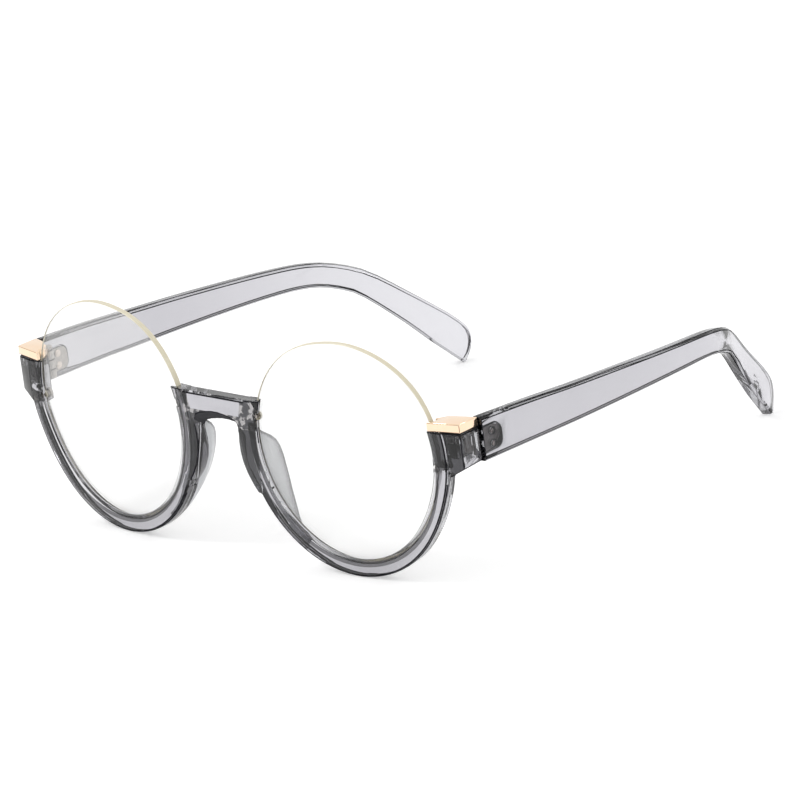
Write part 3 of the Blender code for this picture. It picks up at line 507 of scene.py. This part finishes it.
def round_edges(shape, width, angle=28, material=-1):
    """Rounds every edge that is sharper than an angle and has room for it."""
    limit = math.radians(angle)
    sharp = {e for e in shape.edges if len(e.link_faces) == 2 and e.calc_face_angle(0) > limit}
    tight = {v for v in shape.verts if cramped(v, sharp, width)}
    roomy = [e for e in shape.edges if e in sharp and not tight.intersection(e.verts)]
    bmesh.ops.bevel(
        shape, geom=roomy, offset=width, offset_type="OFFSET", segments=2, profile=0.5,
        affect="EDGES", clamp_overlap=False, loop_slide=True, material=material,
    )


def plastic(node, body, finishes, width, broad, sort=None):
    """A plastic part with rounded corners in painted shade. Broad is the way that its faces look, unlike its
    walls.
    """
    shape = merged_copy(node, 0.3)
    for face in shape.faces:
        face.material_index = int(abs(face.normal.dot(Vector(broad))) < BROAD_SHARE)
    round_edges(shape, width, material=2)
    if sort:
        for face in shape.faces:
            face.material_index = sort(face, face.calc_center_median())
    stand_in(node, shape, body, finishes)


def fitting(node, body, finish, scale=1.0):
    """A small metal part, drawn smaller from its front end where scale is less than one."""
    shape = merged_copy(node, 0.3)
    if scale < 1.0:
        low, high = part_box(node)
        tip = Vector(((low[0] + high[0]) / 2, low[1], (low[2] + high[2]) / 2))
        bmesh.ops.scale(shape, vec=(scale, scale, scale), verts=shape.verts, space=Matrix.Translation(-tip))
    stand_in(node, shape, body, [finish])


def lens(side):
    """A lens, clear, with a warm cut edge."""
    node = "lens_" + side
    shape = merged_copy(node)
    centre = sum((Vector(c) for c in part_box(node)), Vector()) / 2
    for face in shape.faces:
        across = face.normal.dot((face.calc_center_median() - centre).normalized())
        face.material_index = int(abs(face.normal.y) < LENS_BROAD_SHARE and across > 0)
    stand_in(node, shape, "front", [LENS, LENS_EDGE])


def front_part(face, place):
    """Which finish a face takes: 0 face, 1 wall, 2 corner in painted shade, 3 back, 4 lip with a painted
    highlight, 5 arch in painted shade, 6 groove.
    """
    reach = math.hypot(abs(place.x) - LENS_X, place.z - LENS_Z)
    if face.material_index == 0 and face.normal.y > 0:
        return 3
    # Downward walls under the nose opening's ceiling take painted shade
    if face.material_index == 1 and face.normal.z < -0.3 and abs(place.x) < ARCH_SIDE and place.z > ARCH_FOOT:
        return 5
    # Rounded corners low on the rim's inner edge, which face up, take a painted highlight
    if face.material_index == 2 and reach < LIP_CORNER and place.z < LENS_Z:
        return 4
    inward = Vector((math.copysign(LENS_X, place.x) - place.x, 0.0, LENS_Z - place.z)).normalized()
    if face.material_index == 1 and reach < GROOVE_END and face.normal.dot(inward) > 0.3:
        return 6
    return face.material_index


def nose_pad(side):
    """A pad has painted shade along its back edge, which is found step by step from its foot to its top."""
    node = "nose_pad_" + side
    shape = merged_copy(node)
    bmesh.ops.subdivide_edges(shape, edges=shape.edges, cuts=2, use_grid_fill=True)
    backs = {}
    for vert in shape.verts:
        step = round(vert.co.z / PAD_STEP)
        backs[step] = max(backs.get(step, -1.0), vert.co.y)
    for face in shape.faces:
        place = face.calc_center_median()
        back = backs.get(round(place.z / PAD_STEP), 1.0)
        face.material_index = int(place.y > back - PAD_SHADE_WIDTH)
    stand_in(node, shape, "front", [PAD, PAD_EDGE_SHADE])


def end_cap(side):
    """A cap's plates meet in a mitre at its front outer corner, where the seam is dark."""
    node = "end_cap_" + side
    shape = merged_copy(node, 1.0)
    low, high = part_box(node)
    corner_x = max(abs(low[0]), abs(high[0]))
    round_edges(shape, CAP_ROUND, 20, 1)
    for face in shape.faces:
        place = face.calc_center_median()
        by_corner = corner_x - abs(place.x) < SEAM_INWARD and place.y - low[1] < SEAM_BACK
        face.material_index = int(face.material_index == 1 and abs(face.normal.z) < 0.3 and by_corner)
    stand_in(node, shape, "front", [GOLD, SEAM])


def dress_all():
    crystals = (FRONT, FRONT_WALL, EDGE_SHADE, BACK, LIP_HIGHLIGHT, ARCH_SHADE, GROOVE)
    plastic("front_frame", "front", crystals, FRONT_ROUND, (0.0, 1.0, 0.0), front_part)
    for side in SIDES:
        lens(side)
    for side in SIDES:
        temple = side + "_temple"
        plastic("temple_" + side, temple, (TEMPLE, TEMPLE_WALL, TEMPLE_EDGE_SHADE), TEMPLE_ROUND, (1.0, 0.0, 0.0))
        nose_pad(side)
        end_cap(side)
        for name in ("hinge_front_leaf_", "hinge_screw_", "lens_screw_temporal_"):
            fitting(name + side, "front", STEEL)
        fitting("lens_screw_nasal_" + side, "front", STEEL, NASAL_SCREW_SCALE)
        fitting("hinge_temple_leaf_" + side, temple, STEEL)
        for name in ("temple_rivet_lower_", "temple_rivet_upper_"):
            fitting(name + side, temple, RIVET)


def seen_directly(finish):
    """One where a camera, mirror or clear ray sees the surface, and nought for the light that it gives."""
    rays = ("Is Camera Ray", "Is Glossy Ray", "Is Transmission Ray")
    camera_ray, glossy_ray, clear_ray = (finish.node("ShaderNodeLightPath", output=ray) for ray in rays)
    return camera_ray + glossy_ray + clear_ray > 0.5


def floor():
    shape = bmesh.new()
    bmesh.ops.create_circle(shape, cap_ends=True, segments=64, radius=FLOOR_RADIUS)
    mesh = bpy.data.meshes.new("floor")
    shape.to_mesh(mesh)
    shape.free()
    made = bpy.data.objects.new("floor", mesh)
    bpy.context.scene.collection.objects.link(made)
    finish = Finish("studio_floor")
    finish.set(Base_Color=FLOOR_TONE, Roughness=0.9, Specular_IOR_Level=0.0)
    finish.set(Emission_Color=WHITE, Emission_Strength=seen_directly(finish) * FLOOR_GLOW)
    mesh.materials.append(finish.owner)


def sky():
    world = bpy.data.worlds.new("studio")
    bpy.context.scene.world = world
    finish = Finish("studio", world)
    light = next(n for n in finish.tree.nodes if n.type == "BACKGROUND")
    finish.put(light.inputs["Color"], WHITE)
    finish.put(light.inputs["Strength"], seen_directly(finish) * (1.0 - SKY_STRENGTH) + SKY_STRENGTH)


def lamp(name, place, width, power):
    """A round soft lamp that looks at the middle of the glasses on the table."""
    data = bpy.data.lights.new(name, "AREA")
    data.shape = "DISK"
    data.size = width
    data.energy = power
    made = bpy.data.objects.new(name, data)
    bpy.context.scene.collection.objects.link(made)
    made.location = place
    made.rotation_mode = "QUATERNION"
    made.rotation_quaternion = Vector(place).to_track_quat("Z", "Y")


def camera():
    back = Vector((
        math.sin(VIEW_AZIMUTH) * math.cos(VIEW_ELEVATION),
        -math.cos(VIEW_AZIMUTH) * math.cos(VIEW_ELEVATION),
        math.sin(VIEW_ELEVATION),
    ))
    level = Vector((math.cos(VIEW_AZIMUTH), math.sin(VIEW_AZIMUTH), 0.0))
    upright = back.cross(level)
    right = level * math.cos(VIEW_ROLL) + upright * math.sin(VIEW_ROLL)
    up = upright * math.cos(VIEW_ROLL) - level * math.sin(VIEW_ROLL)
    data = bpy.data.cameras.new("camera")
    data.sensor_width = SENSOR
    data.lens = FOCAL_PIXELS / FRAME_PIXELS * SENSOR
    data.clip_end = FAR_CLIP
    made = bpy.data.objects.new("camera", data)
    bpy.context.scene.collection.objects.link(made)
    turn = Matrix((right, up, back)).transposed().to_4x4()
    made.matrix_world = Matrix.Translation(VIEW_TARGET + back * VIEW_DISTANCE) @ turn
    bpy.context.scene.camera = made


camera()
dress_all()
floor()
sky()
lamp("key", (-0.9, -0.8, 1.5), 0.35, 6.0)
lamp("edge", (1.1, 0.9, 1.1), 0.3, 1.5)
bpy.context.scene.view_settings.view_transform = "Standard"
